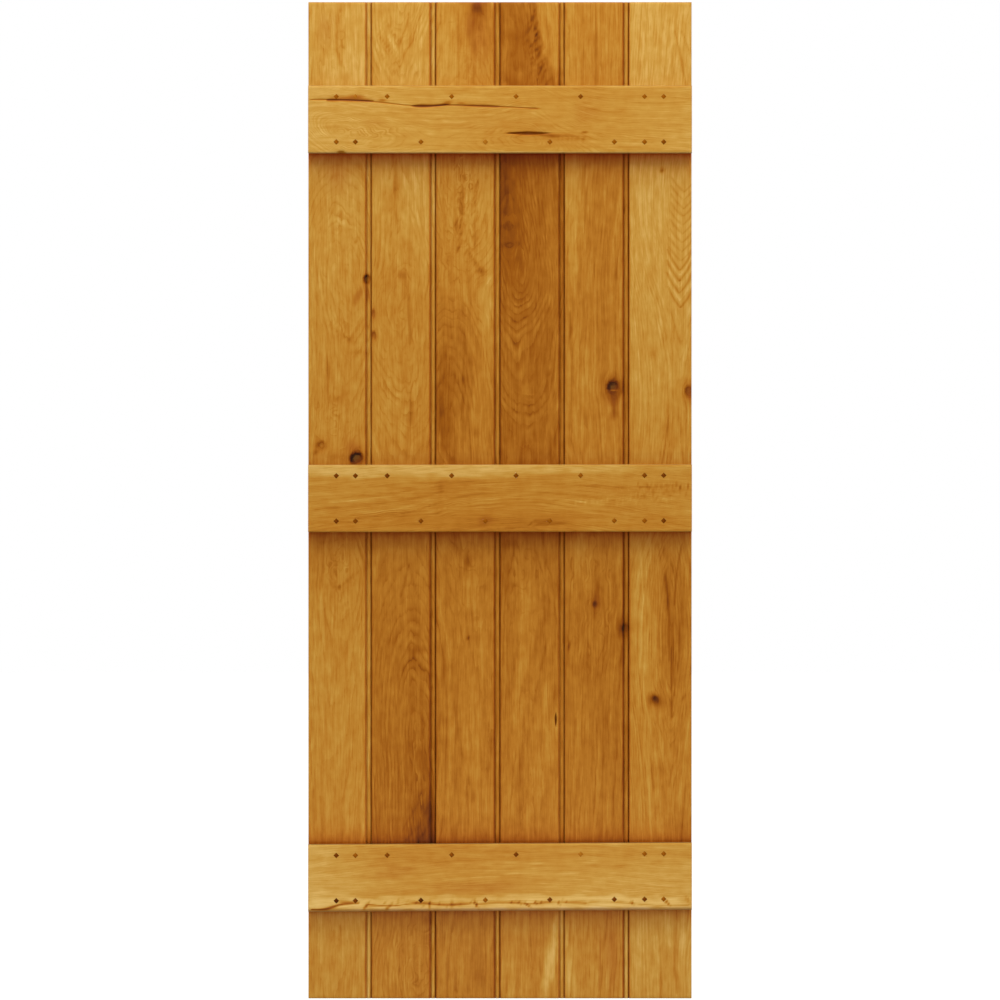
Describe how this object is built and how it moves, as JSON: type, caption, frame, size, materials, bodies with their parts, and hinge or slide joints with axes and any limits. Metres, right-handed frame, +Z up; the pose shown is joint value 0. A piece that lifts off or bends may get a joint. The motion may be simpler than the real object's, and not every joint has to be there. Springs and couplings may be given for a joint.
{
  "type": "ledged door leaf",
  "caption": "Ledged door leaf of solid oak: upright tongued and beaded boards joined by cross ledges and square pegs, to hang from a sliding track or on hinges.",
  "frame": {"origin": "middle of the bottom edge, half way through the leaf's whole thickness", "axes": "+Z up the leaf, +Y away from the ledges towards the plain face, +X to the right as seen from the ledge side"},
  "size_m": [0.762, 0.044, 1.981],
  "materials": {
    "board_oak": "satin oil over golden brown stain",
    "ledge_oak": "satin oil over pale golden stain",
    "peg_oak": "dark end grain, oiled"
  },
  "bodies": {
    "root": {"board_1": "board_oak", "board_2": "board_oak", "board_3": "board_oak", "board_4": "board_oak", "board_5": "board_oak", "board_6": "board_oak", "top_ledge": "ledge_oak", "middle_ledge": "ledge_oak", "bottom_ledge": "ledge_oak", "top_ledge_upper_peg_1": "peg_oak", "top_ledge_upper_peg_2": "peg_oak", "top_ledge_upper_peg_3": "peg_oak", "top_ledge_upper_peg_4": "peg_oak", "top_ledge_upper_peg_5": "peg_oak", "top_ledge_upper_peg_6": "peg_oak", "top_ledge_upper_peg_7": "peg_oak", "top_ledge_upper_peg_8": "peg_oak", "top_ledge_lower_peg_1": "peg_oak", "top_ledge_lower_peg_2": "peg_oak", "top_ledge_lower_peg_3": "peg_oak", "top_ledge_lower_peg_4": "peg_oak", "top_ledge_lower_peg_5": "peg_oak", "top_ledge_lower_peg_6": "peg_oak", "top_ledge_lower_peg_7": "peg_oak", "top_ledge_lower_peg_8": "peg_oak", "middle_ledge_upper_peg_1": "peg_oak", "middle_ledge_upper_peg_2": "peg_oak", "middle_ledge_upper_peg_3": "peg_oak", "middle_ledge_upper_peg_4": "peg_oak", "middle_ledge_upper_peg_5": "peg_oak", "middle_ledge_upper_peg_6": "peg_oak", "middle_ledge_upper_peg_7": "peg_oak", "middle_ledge_upper_peg_8": "peg_oak", "middle_ledge_lower_peg_1": "peg_oak", "middle_ledge_lower_peg_2": "peg_oak", "middle_ledge_lower_peg_3": "peg_oak", "middle_ledge_lower_peg_4": "peg_oak", "middle_ledge_lower_peg_5": "peg_oak", "middle_ledge_lower_peg_6": "peg_oak", "middle_ledge_lower_peg_7": "peg_oak", "middle_ledge_lower_peg_8": "peg_oak", "bottom_ledge_upper_peg_1": "peg_oak", "bottom_ledge_upper_peg_2": "peg_oak", "bottom_ledge_upper_peg_3": "peg_oak", "bottom_ledge_upper_peg_4": "peg_oak", "bottom_ledge_upper_peg_5": "peg_oak", "bottom_ledge_upper_peg_6": "peg_oak", "bottom_ledge_upper_peg_7": "peg_oak", "bottom_ledge_upper_peg_8": "peg_oak", "bottom_ledge_lower_peg_1": "peg_oak", "bottom_ledge_lower_peg_2": "peg_oak", "bottom_ledge_lower_peg_3": "peg_oak", "bottom_ledge_lower_peg_4": "peg_oak", "bottom_ledge_lower_peg_5": "peg_oak", "bottom_ledge_lower_peg_6": "peg_oak", "bottom_ledge_lower_peg_7": "peg_oak", "bottom_ledge_lower_peg_8": "peg_oak"}
  },
  "joints": []
}
